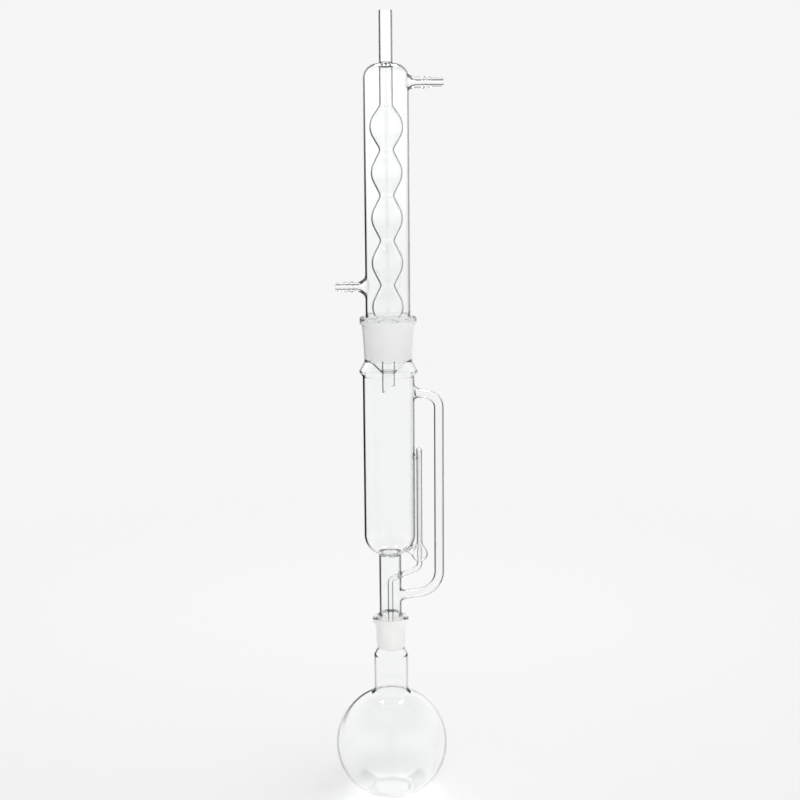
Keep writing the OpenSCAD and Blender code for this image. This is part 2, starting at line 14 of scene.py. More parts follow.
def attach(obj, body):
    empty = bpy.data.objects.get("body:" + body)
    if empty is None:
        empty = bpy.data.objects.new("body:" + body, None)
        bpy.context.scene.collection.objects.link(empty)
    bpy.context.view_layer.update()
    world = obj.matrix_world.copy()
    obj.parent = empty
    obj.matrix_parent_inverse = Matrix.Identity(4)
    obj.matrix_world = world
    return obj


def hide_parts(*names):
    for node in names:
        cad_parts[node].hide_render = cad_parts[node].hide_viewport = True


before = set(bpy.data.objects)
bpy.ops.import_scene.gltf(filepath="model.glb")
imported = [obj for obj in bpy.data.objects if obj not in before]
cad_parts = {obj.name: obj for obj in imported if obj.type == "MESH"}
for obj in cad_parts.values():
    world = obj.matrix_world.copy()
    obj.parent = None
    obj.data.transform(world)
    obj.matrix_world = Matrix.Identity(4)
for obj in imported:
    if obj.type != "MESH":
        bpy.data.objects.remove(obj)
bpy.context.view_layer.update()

# Radii of roundings that recur: a soft turn, a bend in a wall, a tight turn and a melted rim
SOFT, BEND, TIGHT, MELT = 2.5, 1.4, 1.2, 0.45
# Flask
GLOBE_R, GLASS, GLOBE_Z = 51.2, 1.6, 46.85
FOOT_R, FOOT_ROUND, FOOT_WALL, FOOT_HOLLOW, FOOT_RING = 19.0, 8.0, 3.4, 0.8, 4.0
NECK_R, NECK_FILLET, NECK_TAPER = 15.5, 7.0, 6.0
# Ground joints: rim height, end height, radius at the rim; taper of the radius and gap between cones
LOW_RIM, LOW_END, LOW_R = 168.0, 139.0, 12.0
TOP_RIM, TOP_END, TOP_R = 444.3, 406.3, 20.0
TAPER, JOINT_GAP = 0.05, 0.04
# Sockets: wall, bead's radius and height; the bead's root and rounding, and the rim's inner lip
LOW_SOCKET, LOW_BEAD_R, LOW_BEAD_H = 2.1, 16.5, 4.2
TOP_SOCKET, TOP_BEAD_R, TOP_BEAD_H = 3.0, 25.1, 6.0
BEAD_ROOT, BEAD_ROUND, LIP, LIP_DROP = 1.5, 1.6, 0.1, 2.0
# Extractor's body: the wall turns in to the chamber's floor by a knuckle, an arc about TURN
CHAMBER_R, TUBE_R, FLOOR_Z = 23.0, 10.0, 228.0
CHAMBER_IN, BORE = CHAMBER_R - GLASS, TUBE_R - GLASS
KNUCKLE, SEAL_ROUND = 18.0, 2.5
TURN = np.array([CHAMBER_R - KNUCKLE, FLOOR_Z + KNUCKLE])
BULGE_R, BULGE_Z, BULGE_RISE = 26.1, 395.7, 4.4
COLLAR_Z, CONE_BORE = LOW_RIM + 4.5, 0.4
# Vapour tube
VAPOUR_R, VAPOUR_WALL, VAPOUR_X = 4.3, 1.1, 44.6
VAPOUR_TOP, VAPOUR_TOP_SLOPE, VAPOUR_TOP_BEND = 381.7, math.radians(12), 12
VAPOUR_LOW, VAPOUR_LOW_SLOPE, VAPOUR_LOW_BEND = 186.9, math.radians(9), 20
# Siphon: its riser stands in front of its downcomer, at the same distance from the axis
SIPHON_R, SIPHON_WALL, SIPHON_X, SIPHON_Y = 2.6, 1.0, 26.8, 5.7
SIPHON_TOP, SIPHON_ARM, SIPHON_SLOPE, SIPHON_BEND = 323.8, 203.8, math.radians(18), 6
SIPHON_TURN, SIPHON_REACH = math.atan2(SIPHON_Y, SIPHON_X), math.hypot(SIPHON_X, SIPHON_Y)
TO_CHAMBER = np.array([-math.cos(SIPHON_TURN), math.sin(SIPHON_TURN), 0])
RISER_BULB_R, RISER_BULB_Z, BRIDGE_R = 7.3, 229.2, 1.25
DRIP_END, DRIP_LIP, DRIP_BEND = 142.0, 0.4, 5
# Bands of close rows where the vapour tube's two ends and the siphon's arm are welded on: lowest
# and highest row in either skin, then rows, columns, the root's half height and half width in
# either skin, and how far the flares reach out of the walls
HIGH_BAND, LOW_BAND = ((366.3, 387.3), (366.6, 387.6)), ((178.6, 198.6), (178.3, 198.3))
ARM_BAND = ((201.6, 212.6), (201.5, 211.5))
HIGH_ROWS, HIGH_COLUMNS, HIGH_ROOT = 28, 20, ((9.4, 8.8), (8.2, 7.8))
LOW_ROWS, LOW_COLUMNS, LOW_ROOT = 16, 32, ((8.2, 6.6), (7.1, 5.4))
ARM_ROWS, ARM_COLUMNS, ARM_ROOT = 10, 22, ((4.5, 4.4), (3.9, 3.7))
HIGH_FLARE, LOW_FLARE, ARM_FLARE = 8.5, 7, 3.6
# Port for the siphon's bulb: its band in degrees of the knuckle's turn, rows, columns, the radius
# of its round root and its own distance from the axis
PORT_BAND, PORT_ROWS, PORT_COLUMNS, PORT_ROOT, PORT_R = ((-64.6, -26.6), (-70, -28)), 12, 20, 5.3, 17.0
# Condenser
JACKET_R, JACKET_WALL, JACKET_Z, JACKET_STEP = 19.7, 1.5, 661.5, 2.4
JACKET_IN = JACKET_R - JACKET_WALL
SHOULDER_ROUND, SHOULDER_SPLIT, SPLIT_ROWS = 12.0, 28.65, 6
INNER_R, INNER_WALL, VENT_WALL, VENT_Z = 5.9, 1.2, 1.6, 705.5
FIRST_BULB_R, BULB_R, BULB_ROUND, WAIST_R, WAIST_ROUND = 14.7, 13.9, 18.0, 6.65, 4.0
BULB_PITCH, FIRST_BULB, BULBS, BELLY_ROWS, WAIST_ROWS = 39.0, 608.4, 5, 7, 5
CONE_WALL, SEAL_Z, TIP_FILLET = 2.0, 395.7, 1.6
TIP_R, TIP_Z, TIP_SLANT, TIP_LEN = 5.6, 376.3, 6.5, 12.0
# Nozzles: the jacket's close rows end at a foot under the high one and span the low one's weld.
# The flare outside and the funnel inside end at a distance from the axis. For each nozzle: its
# height, its tip's distance from the axis, its side, the radius at its neck and each ridge's
# distance and radius. For its weld: the root's half height and half width, the heights and the
# width of the grid that is cut out, and the first row in the shell and in the water space.
NOZZLE_R, NOZZLE_BORE, NOZZLE_ROWS, RIDGE_FOOT, CREST = 3.8, 1.6, 20, 1.8, 0.4
FLARE_END, FUNNEL_END = 28.6, 26.5
HIGH_FOOT, LOW_SPAN = (636.2, 636.6), ((458.7, 482.7), (459.3, 482.1))
SPLIT = math.radians(SHOULDER_SPLIT)
HIGH_NOZZLE = {
    "z": 645.6, "tip": 49.4, "out": 1, "neck_r": 4.8, "ridges": [(32.3, 5.3), (37.1, 4.6)],
    "root": (7.9, 8.2), "heights": (19.3, 18.2), "columns": 20, "water_row": (JACKET_IN, HIGH_FOOT[1]),
    "shell_row": (JACKET_R - SHOULDER_ROUND * (1 - math.cos(SPLIT)),
                  JACKET_Z - SHOULDER_ROUND * (1 - math.sin(SPLIT)))}
LOW_NOZZLE = {
    "z": 470.7, "tip": 45.9, "out": -1, "neck_r": NOZZLE_R,
    "ridges": [(31.8, 4.95), (36.4, 4.55), (40.8, 4.1)],
    "root": (10.6, 10.2), "heights": (24, 22.8), "columns": 24, "water_row": (JACKET_IN, LOW_SPAN[1][0]),
    "shell_row": (JACKET_R, LOW_SPAN[0][1])}

# Columns round a turned wall, distance of a guard row from a bend, shortest straight that gets
# guard rows, and longest step along a tube
COLUMNS = 128
GUARD, LONG, STRIDE = 0.3, 1.6, 6


def unit(v):
    """Each vector divided by its length."""
    return v / np.linalg.norm(v, axis=-1, keepdims=True)


def corner(before, here, after, radius, step):
    """Arc that touches both lines of a corner: its centre lies on their bisector, and a point at
    a share t of the turn is the first spoke and the last, weighted by sin((1-t)turn) and sin(t turn)."""
    u, v = unit(before - here), unit(after - here)
    half = math.acos(np.clip(u @ v, -1, 1)) / 2
    centre = here + unit(u + v) * radius / math.sin(half)
    first = here + u * radius / math.tan(half) - centre
    last = here + v * radius / math.tan(half) - centre
    turn = math.pi - 2 * half
    t = np.linspace(0, 1, max(2, math.ceil(math.degrees(turn) / step)) + 1)[:, None]
    return centre + (first * np.sin((1 - t) * turn) + last * np.sin(t * turn)) / math.sin(turn)


def line(points, step=6.0):
    """Points of a flat profile or of a path in space, with rounded corners: an entry is a point,
    a (point, radius) pair, or an array of points that is kept as it is."""
    ends = [np.atleast_2d(np.asarray(p[0] if isinstance(p, tuple) else p, float)) for p in points]
    parts = []
    for k, p in enumerate(points):
        if isinstance(p, tuple):
            parts.append(corner(ends[k - 1][-1], ends[k][0], ends[(k + 1) % len(ends)][0], p[1], step))
        else:
            parts.append(ends[k])
    joined = np.vstack(parts)
    apart = np.linalg.norm(np.diff(joined, axis=0), axis=1) > 1e-4
    return joined[np.r_[True, apart]]


def guarded(points, closed=False):
    """The same line with two more points on each long straight, close to its ends, so that the
    smooth shading of a bend doesn't run along the straight."""
    here = points if closed else points[:-1]
    step = (np.roll(points, -1, 0) if closed else points[1:]) - here[:len(points)]
    length = np.linalg.norm(step, axis=1, keepdims=True)
    along = step / length * GUARD
    rows = np.stack([here, here + along, here + step - along], 1)
    keep = np.stack([np.ones(len(here), bool), length[:, 0] > LONG, length[:, 0] > LONG], 1)
    made = rows[keep]
    return made if closed else np.vstack([made, points[-1:]])


def stations(points, step):
    """A path's points, its corners rounded and each straight cut into the fewest equal lengths
    that are no longer than a stride."""
    bent = guarded(line(points, step))
    gaps = np.diff(bent, axis=0)
    parts = np.ceil(np.linalg.norm(gaps, axis=1) / STRIDE).astype(int)
    k = np.repeat(np.arange(len(gaps)), parts)
    share = (np.arange(len(k)) - np.repeat(np.cumsum(parts) - parts, parts)) / parts[k]
    return np.vstack([bent[k] + share[:, None] * gaps[k], bent[-1:]])


def arc(x, z, radius, start, end, rows):
    """Rows + 1 points of a circle's arc between two angles in degrees."""
    a = np.radians(np.linspace(start, end, rows + 1))
    return np.stack([x + radius * np.cos(a), z + radius * np.sin(a)], 1)


def wall_rows(radius, start, end, rows):
    """Rows + 1 evenly spaced heights of an upright wall."""
    return np.stack([np.full(rows + 1, radius), np.linspace(start, end, rows + 1)], 1)


def low_joint(z):
    """Radius of the lower ground joint at a height: the rim's, less the taper times the depth."""
    return LOW_R - TAPER * (LOW_RIM - z)


def top_joint(z):
    """Radius of the upper ground joint at a height, by the same rule."""
    return TOP_R - TAPER * (TOP_RIM - z)


class Skin:
    """One closed surface, gathered from grids of points that share their edge rings."""

    def __init__(self):
        self.points, self.quads, self.count = [], [], 0

    def place(self, points):
        """Adds points of any grid shape and gives their numbers in that shape."""
        made = np.arange(points[..., 0].size).reshape(points.shape[:-1]) + self.count
        self.points.append(points.reshape(-1, 3))
        self.count += made.size
        return made

    def weave(self, numbers, keep=None):
        """Quads between each row of a grid and the next, round each row."""
        a, b = numbers[:-1], numbers[1:]
        quads = np.stack([a, np.roll(a, -1, 1), np.roll(b, -1, 1), b], -1)
        self.quads.append(quads.reshape(-1, 4) if keep is None else quads[keep])

    def mesh(self, name):
        """The object: unused points dropped, poles merged to triangle fans, faces outward."""
        points, quads = np.vstack(self.points), np.vstack(self.quads)
        used, quads = np.unique(quads, return_inverse=True)
        quads = quads.reshape(-1, 4)
        first = quads[:, 0] == quads[:, 1]
        pinched = first | (quads[:, 2] == quads[:, 3])
        fans = np.where(first[:, None], quads[:, [0, 2, 3]], quads[:, :3])[pinched].tolist()
        data = bpy.data.meshes.new(name)
        data.from_pydata((points[used] * 0.001).tolist(), [], quads[~pinched].tolist() + fans)
        piece = bpy.data.objects.new(name, data)
        bpy.context.scene.collection.objects.link(piece)
        work = bmesh.new()
        work.from_mesh(data)
        bmesh.ops.recalc_face_normals(work, faces=work.faces)
        if work.calc_volume(signed=True) < 0:
            bmesh.ops.reverse_faces(work, faces=work.faces)
        work.to_mesh(data)
        work.free()
        data.shade_smooth()
        return piece


class Wall:
    """A profile of radius and height turned about the upright axis: x = r cos a, y = r sin a."""

    def __init__(self, skin, profile, closed=False, shear=None):
        self.skin, self.profile, self.closed = skin, profile, closed
        a = np.arange(COLUMNS) / COLUMNS * 2 * math.pi
        r, z = profile[:, :1], profile[:, 1:]
        self.points = np.stack([r * np.cos(a), r * np.sin(a), z + 0 * a], -1)
        if shear:
            self.points = shear(self.points)
        self.numbers = skin.place(self.points)
        poles = profile[:, 0] < 1e-6
        self.numbers[poles] = self.numbers[poles][:, :1]
        rows = len(profile) if closed else len(profile) - 1
        self.keep = np.ones((rows, COLUMNS), bool)

    def finish(self):
        """Adds the quads that no mouth has cut away."""
        numbers = np.vstack([self.numbers, self.numbers[:1]]) if self.closed else self.numbers
        self.skin.weave(numbers, self.keep)

    def row(self, radius, z):
        """The row of the profile nearest to a radius and a height."""
        return int(np.argmin(np.hypot(self.profile[:, 0] - radius, self.profile[:, 1] - z)))

    def sample(self, i, j):
        """Point of the surface at a broken row and column: the four grid points round it, weighted
        by nearness."""
        i0, j0 = np.floor(i).astype(int), np.floor(j).astype(int)
        s, t = (i - i0)[..., None], (j - j0)[..., None]
        last, columns = len(self.points) - 1, self.points.shape[1]
        low, high = np.clip(i0, 0, last), np.clip(i0 + 1, 0, last)
        left, right = j0 % columns, (j0 + 1) % columns
        return ((1 - s) * (1 - t) * self.points[low, left] + (1 - s) * t * self.points[low, right]
                + s * (1 - t) * self.points[high, left] + s * t * self.points[high, right])

    def mouth(self, first, rows, middle, columns, root_rows, root_columns, rings=3):
        """Cuts a rectangle out of the grid and fills it up to an oval root, on the wall. A ring at
        a share t runs at (1-t) of the rectangle's edge and t of the oval, in rows and columns.
        Inward is the way from the root to an oval 0.93 as large."""
        left = middle - columns // 2
        self.keep[first:first + rows][:, np.arange(left, left + columns) % len(self.keep[0])] = False
        up, across = np.arange(rows), np.arange(columns)
        i = np.r_[0 * across, up, rows + 0 * across, rows - up] + first
        j = np.r_[across, columns + 0 * up, columns - across, 0 * up] + left
        loop = self.numbers[i, j % self.points.shape[1]]
        ci, cj = first + rows / 2, left + columns / 2
        a = np.arctan2((j - cj) / root_columns, (i - ci) / root_rows)
        oval_i, oval_j = ci + root_rows * np.cos(a), cj + root_columns * np.sin(a)
        t = np.linspace(0, 1, rings + 2)[1:, None]
        made = self.sample((1 - t) * i + t * oval_i, (1 - t) * j + t * oval_j)
        inner = self.sample(ci + 0.93 * (oval_i - ci), cj + 0.93 * (oval_j - cj))
        return {"loop": loop, "rings": made, "inward": unit(inner - made[-1])}


class Rod(Wall):
    """A tube's surface: circles of a radius about the stations of a path."""

    def __init__(self, skin, points, numbers):
        self.skin, self.points, self.numbers, self.closed = skin, points, numbers, False
        self.keep = np.ones((len(points) - 1, points.shape[1]), bool)


def frames(centres, first, tip):
    """Two directions across a path at each station: the first carried along with no twist, each
    time less its part along the path, and the second square to both. Past a tip, where the path
    turns back on itself, its steps count backward, so that both are carried over as they are."""
    step = unit(np.diff(centres, axis=0))
    if tip:
        step[tip:] *= -1
    along = unit(np.vstack([step[:1], step[:-1] + step[1:], step[-1:]]))
    across = [np.asarray(first, float)]
    for t in along:
        across.append(unit(across[-1] - (across[-1] @ t) * t))
    across = np.array(across[1:])
    return along, across, np.cross(along, across)


def blend(start, leave, arrive, end, reach, steps):
    """Rings between two rings on cubic curves: leaving along one direction and arriving along the
    other, each with a handle of a share of the distance."""
    gap = np.linalg.norm(end - start, axis=-1, keepdims=True)
    a, b = start + leave * gap * reach, end - arrive * gap * reach
    t = np.linspace(0, 1, steps + 1)[1:-1, None, None]
    return (1 - t) ** 3 * start + 3 * (1 - t) ** 2 * t * a + 3 * (1 - t) * t ** 2 * b + t ** 3 * end


def turned_to(mouth, angles, centre, across, up):
    """A mouth with its rings' order and start changed, so that its angles about a path run as
    the given ones do, with the least turn in all. Gives the mouth and its angles."""
    spoke = mouth["rings"][-1] - centre
    made = np.arctan2(spoke @ up, spoke @ across)
    if angles is None:
        return mouth, made
    k = np.arange(len(made))
    shifted = (k - k[:, None]) % len(k)
    orders = np.vstack([shifted, len(k) - 1 - shifted])
    turns = np.angle(np.exp(1j * (made[orders] - angles)))
    best = np.abs(turns).sum(1).argmin()
    order = orders[best]
    same = {"loop": mouth["loop"][order], "rings": mouth["rings"][:, order], "inward": mouth["inward"][order]}
    return same, angles + turns[best]


def tube(skin, centres, radii, first, start=None, end=None, sides=64, flare=9, reach=0.55, tip=None):
    """Circles about a path's stations, c + r (cos a n1 + sin a n2), joined at either end to the
    mouth of a wall by a flare, or closed at a pole. Gives the tube, for a mouth in its own side."""
    along, across, up = frames(centres, first, tip)
    angles = np.arange(sides) / sides * 2 * math.pi
    if start:
        start, angles = turned_to(start, None, centres[0], across[0], up[0])
    last = angles
    if end:
        end, last = turned_to(end, angles, centres[-1], across[-1], up[-1])
    length = np.r_[0, np.cumsum(np.linalg.norm(np.diff(centres, axis=0), axis=1))]
    a = angles + (last - angles) * (length / length[-1])[:, None]
    rings = (centres[:, None] + radii[:, None, None] * (
        np.cos(a)[..., None] * across[:, None] + np.sin(a)[..., None] * up[:, None]))
    parts = [rings]
    if start:
        parts.insert(0, blend(start["rings"][-1], start["inward"], along[0], rings[0], reach, flare))
        parts.insert(0, start["rings"])
    if end:
        arriving = -along[-1] if tip else along[-1]
        parts.append(blend(rings[-1], arriving, -end["inward"], end["rings"][-1], reach, flare))
        parts.append(end["rings"][::-1])
    numbers = skin.place(np.vstack(parts))
    if not start:
        numbers[0] = numbers[0, 0]
    if not end:
        numbers[-1] = numbers[-1, 0]
    made = Rod(skin, np.vstack(parts), numbers)
    made.before = start["loop"] if start else None
    made.after = end["loop"] if end else None
    return made


def sew(made):
    """Adds a tube's quads, with those that join it to its mouths."""
    made.finish()
    if made.before is not None:
        made.skin.weave(np.vstack([made.before, made.numbers[0]]))
    if made.after is not None:
        made.skin.weave(np.vstack([made.numbers[-1], made.after]))


def half_bulb(belly_r, waist_r, depth):
    """Half a bulb's outline at a depth in the glass: an arc about the belly's centre, a straight
    flank and an arc about the waist's. The flank's slope is that of the line that touches both."""
    belly, waist = np.array([belly_r - BULB_ROUND, 0.0]), np.array([waist_r + WAIST_ROUND, BULB_PITCH / 2])
    gap = waist - belly
    lean = math.acos((BULB_ROUND + WAIST_ROUND) / np.hypot(*gap))
    flank = math.degrees(math.atan2(gap[1], gap[0]) - lean)
    return np.vstack([arc(*belly, BULB_ROUND - depth, 0, flank, BELLY_ROWS),
                      arc(*waist, WAIST_ROUND + depth, 180 + flank, 180, WAIST_ROWS)])


def bulbs(depth):
    """Inner tube's outline down through its bulbs, which run into the plain tube at both ends."""
    rows = []
    for k in range(BULBS):
        belly_r = FIRST_BULB_R if k == 0 else BULB_R
        up = half_bulb(belly_r, INNER_R if k == 0 else WAIST_R, depth)
        down = half_bulb(belly_r, INNER_R if k == BULBS - 1 else WAIST_R, depth) * [1, -1]
        rows.append(np.vstack([up[::-1], down[1:]]) + [0, FIRST_BULB - BULB_PITCH * k])
    return np.vstack(rows)


def globe(depth, floor, round_r):
    """Flask's outline at a depth in the glass, three arcs that touch: the foot's rounding, the
    globe and the fillet to the neck. Each arc ends on the line through its centre and the next."""
    r = GLOBE_R - depth
    foot_x = math.sqrt((r - round_r) ** 2 - (GLOBE_Z - floor - round_r) ** 2)
    low = math.degrees(math.atan2(floor + round_r - GLOBE_Z, foot_x))
    fillet_x = NECK_R + NECK_FILLET
    fillet_z = GLOBE_Z + math.sqrt((GLOBE_R + NECK_FILLET) ** 2 - fillet_x ** 2)
    high = math.degrees(math.atan2(fillet_z - GLOBE_Z, fillet_x))
    return np.vstack([arc(foot_x, floor + round_r, round_r, -90, low, 10),
                      arc(0, GLOBE_Z, r, low, high, 60)[1:],
                      arc(fillet_x, fillet_z, NECK_FILLET + depth, high + 180, 180, 14)[1:]])


def make_flask():
    """Flask: one profile from the hollow under its foot, out over the foot and globe, up the neck
    and socket to the beaded rim, and back down inside to the middle of its floor. The hollow is
    an arc whose radius follows from its width and depth."""
    ring = FOOT_R - FOOT_RING
    hollow = (ring ** 2 + FOOT_HOLLOW ** 2) / (2 * FOOT_HOLLOW)
    turn = math.degrees(math.asin(ring / hollow))
    bead_foot = LOW_RIM - LOW_BEAD_H
    lip = [low_joint(LOW_RIM - LIP_DROP), LOW_RIM - LIP_DROP]
    outside = line([
        arc(0, FOOT_HOLLOW - hollow, hollow, 90, 90 - turn, 6),
        globe(0, 0, FOOT_ROUND),
        ([NECK_R, LOW_END - NECK_TAPER - 1], SOFT), ([low_joint(LOW_END) + LOW_SOCKET, LOW_END - 1], SOFT),
        ([LOW_R + LOW_SOCKET, bead_foot - BEAD_ROOT], TIGHT), ([LOW_BEAD_R, bead_foot], TIGHT),
        ([LOW_BEAD_R, LOW_RIM], BEAD_ROUND), ([LOW_R + LIP, LOW_RIM], 0.8), lip])
    inside = line([
        lip, ([low_joint(LOW_END), LOW_END], TIGHT), ([NECK_R - GLASS, LOW_END - NECK_TAPER], SOFT),
        globe(GLASS, FOOT_WALL, FOOT_ROUND / 2)[::-1], [0, FOOT_WALL]])
    skin = Skin()
    Wall(skin, guarded(np.vstack([outside, inside[1:]]))).finish()
    return skin.mesh("glass_flask")


def body_profile():
    """Extractor's body: from the middle of the chamber's floor up inside, over the rim, down
    outside, over the lower end of the ground cone and up inside the lower tube to the floor's
    underside. Its walls have closer rows where a tube is welded on."""
    seal_x = TUBE_R + SEAL_ROUND
    seal_z = TURN[1] - math.sqrt((KNUCKLE + SEAL_ROUND) ** 2 - (seal_x - TURN[0]) ** 2)
    seal_a = math.degrees(math.atan2(seal_z - TURN[1], seal_x - TURN[0]))
    (port_out_low, port_out_high), (port_in_low, port_in_high) = PORT_BAND
    inner_turn = KNUCKLE - GLASS
    wide, bead_foot = BORE + CONE_BORE, TOP_RIM - TOP_BEAD_H
    return guarded(line([
        [0, FLOOR_Z + GLASS],
        arc(*TURN, inner_turn, -90, port_in_low, 6),
        arc(*TURN, inner_turn, port_in_low, port_in_high, PORT_ROWS),
        arc(*TURN, inner_turn, port_in_high, 0, 6),
        wall_rows(CHAMBER_IN, *HIGH_BAND[1], HIGH_ROWS),
        ([CHAMBER_IN, BULGE_Z - BULGE_RISE], 1.6), ([BULGE_R - GLASS, BULGE_Z], BEND),
        ([top_joint(TOP_END), TOP_END], SOFT), [top_joint(TOP_RIM - LIP_DROP), TOP_RIM - LIP_DROP],
        ([TOP_R + LIP, TOP_RIM], 0.9), ([TOP_BEAD_R, TOP_RIM], 1.8), ([TOP_BEAD_R, bead_foot], BEND),
        ([TOP_R + TOP_SOCKET, bead_foot - BEAD_ROOT], TIGHT),
        ([top_joint(TOP_END) + TOP_SOCKET, TOP_END - 1], SOFT),
        ([BULGE_R, BULGE_Z], BEND), ([CHAMBER_R, BULGE_Z - BULGE_RISE], BEND),
        wall_rows(CHAMBER_R, *HIGH_BAND[0][::-1], HIGH_ROWS),
        arc(*TURN, KNUCKLE, 0, port_out_high, 6),
        arc(*TURN, KNUCKLE, port_out_high, port_out_low, PORT_ROWS),
        arc(*TURN, KNUCKLE, port_out_low, seal_a, 2),
        arc(seal_x, seal_z, SEAL_ROUND, 180 + seal_a, 180, 8),
        wall_rows(TUBE_R, *ARM_BAND[0][::-1], ARM_ROWS), wall_rows(TUBE_R, *LOW_BAND[0][::-1], LOW_ROWS),
        ([TUBE_R, COLLAR_Z], BEND), ([LOW_R + 0.3, LOW_RIM + 1.2], 1.0), [LOW_R - JOINT_GAP, LOW_RIM],
        ([low_joint(LOW_END) - JOINT_GAP, LOW_END], 0.6), ([wide, LOW_END], 0.6),
        ([wide, LOW_RIM], SOFT), ([BORE, COLLAR_Z], SOFT),
        wall_rows(BORE, *LOW_BAND[1], LOW_ROWS), wall_rows(BORE, *ARM_BAND[1], ARM_ROWS),
        ([BORE, FLOOR_Z - 0.4], SOFT), [0, FLOOR_Z]]))


def weld(wall, first, rows, height, middle, columns, size, radius, rings=3):
    """A mouth in a wall for a tube that is welded on, over a height of rows and some columns about
    the middle one. Its root's half height and half width in mm become shares of rows and columns."""
    return wall.mouth(first, rows, middle, columns, size[0] * rows / height,
                      size[1] * COLUMNS / (radius * 2 * math.pi), rings)


def band_weld(wall, radius, band, side, rows, middle, columns, size):
    """A weld on an upright wall's band of close rows. The outer skin's rows run down and the inner
    skin's run up, so the first row is the highest outside and the lowest inside."""
    low, high = band[side]
    first = wall.row(radius, low if side else high)
    return weld(wall, first, rows, high - low, middle, columns, size[side], radius)


def vapour_tube(skin, body):
    """Vapour tube, an outer and an inner skin: circles along a path that slopes out of the chamber,
    runs down and slopes back to the lower tube. Its two corners are arcs."""
    high_slope, low_slope = math.tan(VAPOUR_TOP_SLOPE), math.tan(VAPOUR_LOW_SLOPE)
    high_x, low_x = CHAMBER_R + HIGH_FLARE, TUBE_R + LOW_FLARE
    path = stations([
        [high_x, 0, VAPOUR_TOP - high_x * high_slope],
        ([VAPOUR_X, 0, VAPOUR_TOP - VAPOUR_X * high_slope], VAPOUR_TOP_BEND),
        ([VAPOUR_X, 0, VAPOUR_LOW + VAPOUR_X * low_slope], VAPOUR_LOW_BEND),
        [low_x, 0, VAPOUR_LOW + low_x * low_slope]], 5)
    for side, depth in enumerate((0, VAPOUR_WALL)):
        high = band_weld(body, (CHAMBER_R, CHAMBER_IN)[side], HIGH_BAND, side, HIGH_ROWS, 0, HIGH_COLUMNS,
                         HIGH_ROOT)
        low = band_weld(body, (TUBE_R, BORE)[side], LOW_BAND, side, LOW_ROWS, 0, LOW_COLUMNS, LOW_ROOT)
        sew(tube(skin, path, np.full(len(path), VAPOUR_R - depth), [0, 1, 0], high, low, sides=96))


def arm(distance):
    """Point of the siphon arm's centre line at a distance from the axis."""
    out = np.array([math.cos(SIPHON_TURN), math.sin(SIPHON_TURN)]) * distance
    return np.r_[out, SIPHON_ARM + distance * math.tan(SIPHON_SLOPE)]


def drip_end(stem_top, legs, bore_r):
    """Siphon's inner skin past the riser: down the legs and the drip tube's bore, over its lip,
    which is a flattened half circle, and back outside it to the lower tube's bore. Gives the
    centres, the radii and how many stations come before the lip."""
    base = [0, 0, DRIP_END + DRIP_LIP]
    out = stations([stem_top] + legs + [([0, 0, SIPHON_ARM], DRIP_BEND), base], 6)
    back = stations([base, ([0, 0, SIPHON_ARM], DRIP_BEND), arm(BORE - 2.2)], 6)
    half = SIPHON_WALL / 2
    lip = arc(SIPHON_R - half, 0, half, 180, 0, 6)[1:-1]
    flat = DRIP_LIP / half
    rim = np.stack([0 * lip[:, 0], 0 * lip[:, 0], base[2] - flat * lip[:, 1]], 1)
    centres = np.vstack([out[1:], rim, back])
    return centres, np.r_[np.full(len(out) - 1, bore_r), lip[:, 0], np.full(len(back), SIPHON_R)], len(out)


def siphon(skin, body):
    """Siphon, an outer and an inner skin: circles along a path from the bulb up the riser, over
    the U, down the downcomer and along the arm to the lower tube. The bulb's outline, two arcs
    and a fillet about its centre, gives the radii along the riser's foot."""
    column = int(round(SIPHON_TURN / (2 * math.pi) * COLUMNS))
    foot = np.array([SIPHON_X, -SIPHON_Y, RISER_BULB_Z])
    legs = [([SIPHON_X, -SIPHON_Y, SIPHON_TOP], SIPHON_Y), ([SIPHON_X, SIPHON_Y, SIPHON_TOP], SIPHON_Y),
            (arm(SIPHON_REACH), SIPHON_BEND)]
    for side, depth in enumerate((0, SIPHON_WALL)):
        r, ball = SIPHON_R - depth, RISER_BULB_R - depth
        rise = line([arc(0, 0, ball, -90, -30, 8), arc(0, 0, ball, -30, 33, 9), ([r, 9.6], 5), [r, 15.0]], 5)
        stem = foot + np.stack([0 * rise[:, 1], 0 * rise[:, 1], rise[:, 1]], 1)
        if side:
            centres, radii, before = drip_end(stem[-1], legs, r)
            tip = len(stem) + before + 1
        else:
            centres = stations([stem[-1]] + legs + [arm(TUBE_R + ARM_FLARE)], 6)[1:]
            radii, tip = np.full(len(centres), r), None
        mouth = band_weld(body, (TUBE_R, BORE)[side], ARM_BAND, side, ARM_ROWS, column, ARM_COLUMNS, ARM_ROOT)
        rod = tube(skin, np.vstack([stem, centres]), np.r_[rise[:, 0], radii], TO_CHAMBER, end=mouth, flare=6,
                   reach=0.5, tip=tip)
        low, high = np.radians(PORT_BAND[side])
        knuckle, first = KNUCKLE - GLASS * side, low if side else high
        row = body.row(*(TURN + knuckle * np.array([math.cos(first), math.sin(first)])))
        port = weld(body, row, PORT_ROWS, knuckle * (high - low), -column, PORT_COLUMNS,
                    (PORT_ROOT - depth, PORT_ROOT - depth), PORT_R, rings=2)
        own_row = int(np.argmin(np.abs(rise[:, 1] + ball / 2)))
        neck(skin, port, rod.mouth(own_row, 16, 0, 16, 6.2, 6.4, rings=2))
        sew(rod)


